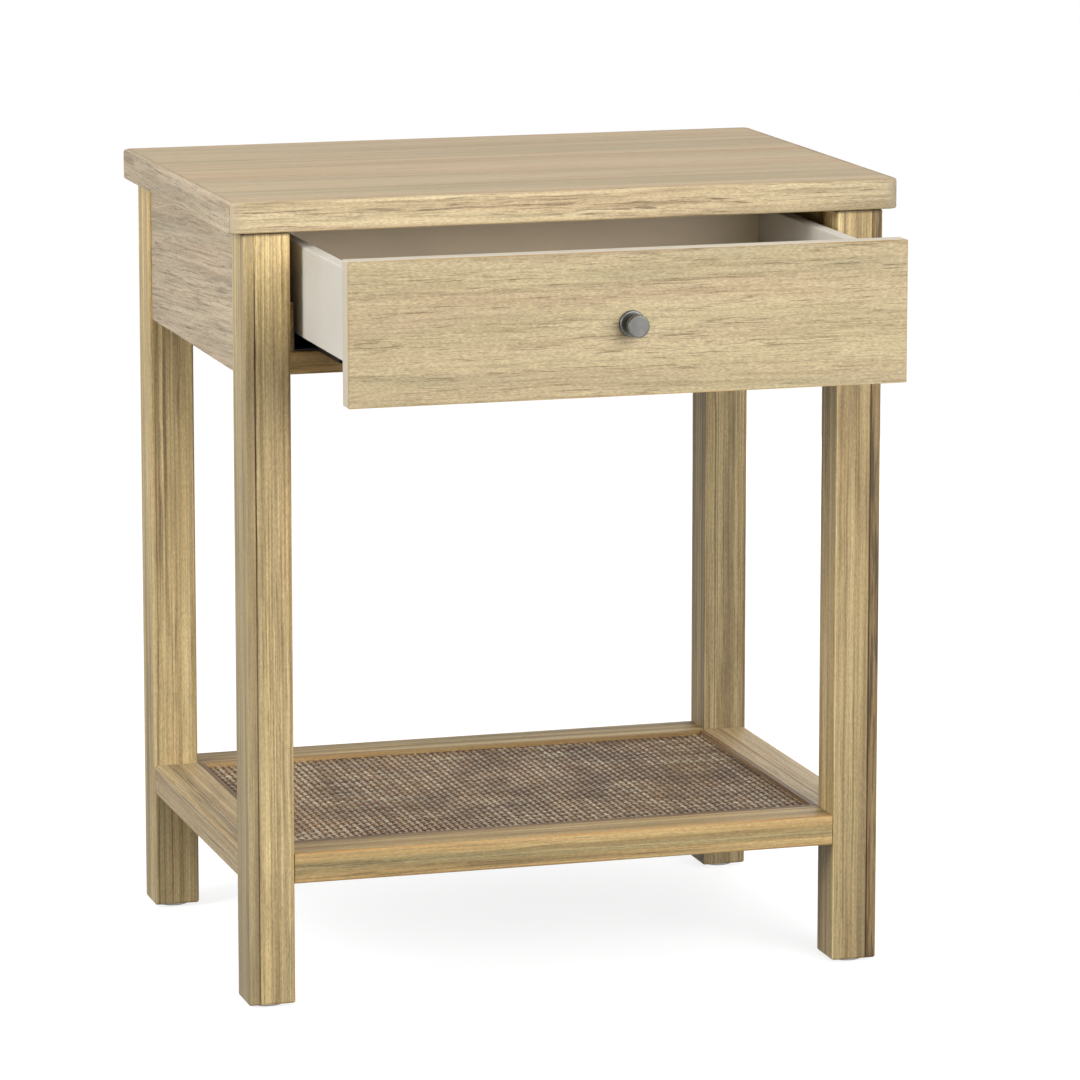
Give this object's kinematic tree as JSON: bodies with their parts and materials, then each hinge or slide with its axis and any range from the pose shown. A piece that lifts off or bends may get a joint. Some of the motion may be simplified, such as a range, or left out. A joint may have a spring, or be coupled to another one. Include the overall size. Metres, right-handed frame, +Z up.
{
  "type": "nightstand with one drawer and shelf",
  "caption": "Four-legged wooden bedside table with an overhanging top, an inset drawer on undermount slides and a low shelf with a woven rattan panel.",
  "frame": {"origin": "on the floor, under the middle of the whole outline with the drawer 183 mm open as at rest", "axes": "+X to the viewer's right facing the drawer, +Y to the back, +Z up; the drawer opens along -Y"},
  "size_m": [0.609, 0.6166, 0.711],
  "materials": {
    "washed_wood": "satin washed oak-like wood, light beige khaki with grey-brown grain",
    "veneer": "satin washed wood veneer, pinkish beige, fine straight grain",
    "hidden_wood": "plain sanded wood",
    "cream_paint": "satin cream paint on wood board",
    "rattan": "open woven rattan cane, matte",
    "backing": "dark stained thin board",
    "gunmetal": "dark gunmetal plating, satin",
    "steel": "zinc-plated steel",
    "black_plastic": "matte black",
    "black_steel": "blackened steel",
    "glide_plastic": "white nylon"
  },
  "bodies": {
    "frame": {"lipping_front": "washed_wood", "lipping_right": "washed_wood", "lipping_rear": "washed_wood", "lipping_left": "washed_wood", "leg_front_left": "washed_wood", "leg_front_right": "washed_wood", "leg_rear_left": "washed_wood", "leg_rear_right": "washed_wood", "apron_left": "washed_wood", "apron_right": "washed_wood", "apron_back": "washed_wood", "front_rail": "washed_wood", "shelf_rail_front": "washed_wood", "shelf_rail_right": "washed_wood", "shelf_rail_rear": "washed_wood", "shelf_rail_left": "washed_wood", "bead_front": "washed_wood", "bead_right": "washed_wood", "bead_rear": "washed_wood", "bead_left": "washed_wood", "top_panel": "veneer", "top_cleat_left": "hidden_wood", "top_cleat_right": "hidden_wood", "slide_packer_left": "hidden_wood", "slide_packer_right": "hidden_wood", "rattan_panel": "rattan", "shelf_backing": "backing", "top_screw_front_left": "steel", "top_screw_front_right": "steel", "top_screw_rear_left": "steel", "top_screw_rear_right": "steel", "rail_screw_left": "black_steel", "rail_screw_right": "black_steel", "slide_cabinet_left": "black_steel", "slide_cabinet_right": "black_steel", "glide_front_left": "glide_plastic", "glide_front_right": "glide_plastic", "glide_rear_left": "glide_plastic", "glide_rear_right": "glide_plastic"},
    "slide_carriage": {"slide_middle_left": "black_steel", "slide_middle_right": "black_steel"},
    "drawer": {"drawer_front": "cream_paint", "drawer_veneer": "veneer", "drawer_box_front": "cream_paint", "drawer_side_left": "cream_paint", "drawer_side_right": "cream_paint", "drawer_back": "cream_paint", "drawer_bottom": "cream_paint", "knob_rosette": "gunmetal", "knob": "gunmetal", "knob_screw": "steel", "front_screw_left": "steel", "front_screw_right": "steel", "slide_drawer_left": "black_steel", "slide_drawer_right": "black_steel", "slide_clip_left": "black_plastic", "slide_clip_right": "black_plastic"}
  },
  "joints": [
    {"name": "drawer_slide", "type": "slide", "parent": "frame", "child": "drawer", "axis": [0, -1, 0], "range_m": [-0.183, 0.067]},
    {"name": "carriage_slide", "type": "slide", "parent": "frame", "child": "slide_carriage", "axis": [0, -1, 0], "range_m": [-0.0915, 0.0335]}
  ],
  "couplings": [
    {"joint": "carriage_slide", "follows": "drawer_slide", "ratio": 0.5}
  ]
}
